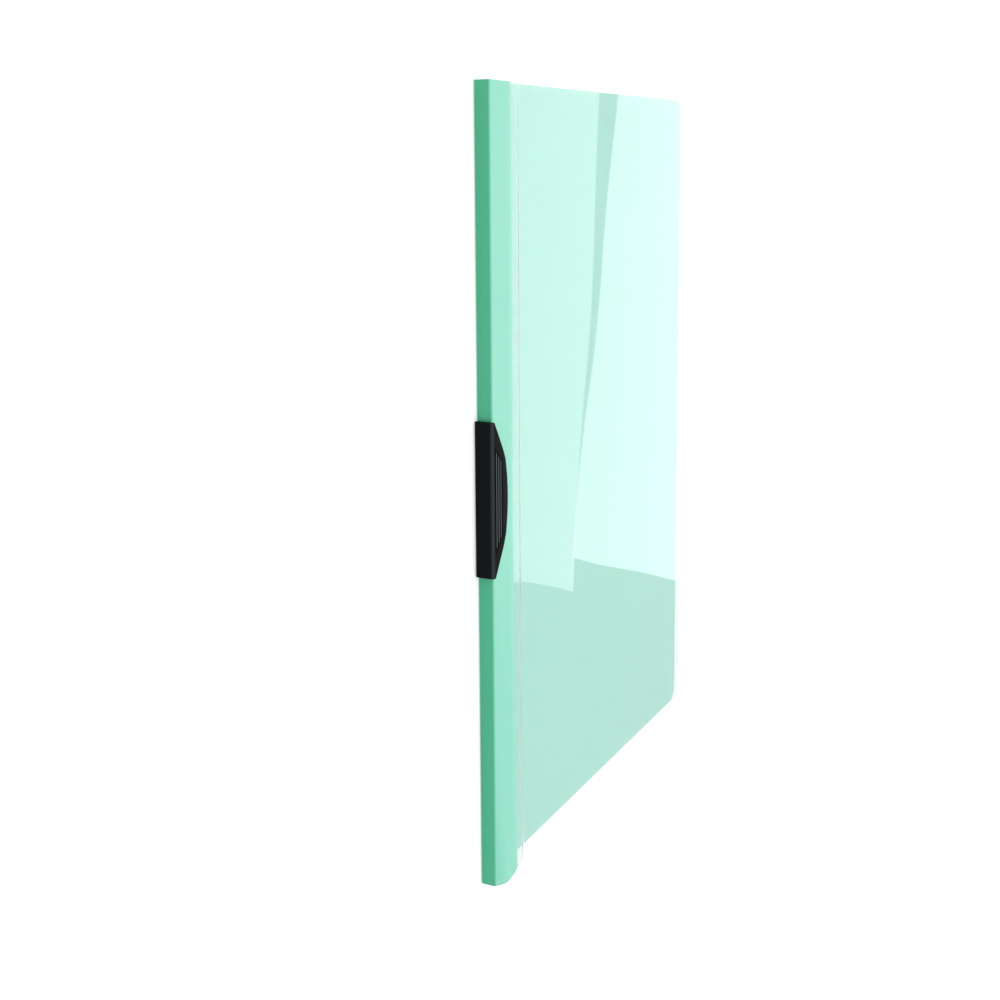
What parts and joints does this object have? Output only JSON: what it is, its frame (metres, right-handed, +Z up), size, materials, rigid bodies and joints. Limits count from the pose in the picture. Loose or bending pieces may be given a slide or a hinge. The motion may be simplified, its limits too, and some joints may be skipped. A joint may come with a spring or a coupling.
{
  "type": "clip folder",
  "caption": "A4 clip folder with a mint plastic back, spine and strip, a clear hinged front cover and a black swing clip on the spine, lying closed on its back",
  "frame": {"origin": "centre of the underside of the folder's box, on the table", "axes": "+X from the spine to the fore-edge, +Y from the foot of the folder to its head, +Z up, from the back cover to the front"},
  "size_m": [0.2258, 0.31, 0.0091],
  "materials": {
    "mint_polypropylene": "satin, slightly translucent sheet",
    "clear_film": "clear, glossy film",
    "black_plastic": "fine matte moulding",
    "steel_wire": "drawn wire"
  },
  "bodies": {
    "folder": {"folder_sheet": "mint_polypropylene", "clip_base": "black_plastic", "hinge_pin": "steel_wire"},
    "clip": {"swing_clip": "black_plastic"},
    "cover": {"front_cover": "clear_film"}
  },
  "joints": [
    {"name": "clip_swing", "type": "hinge", "parent": "folder", "child": "clip", "pos_m": [-0.1118, 0, 0.00115], "axis": [0, -1, 0], "range_deg": [0, 90]},
    {"name": "cover_open", "type": "hinge", "parent": "folder", "child": "cover", "pos_m": [-0.09345, 0, 0.0079], "axis": [0, -1, 0], "range_deg": [0, 160]}
  ]
}
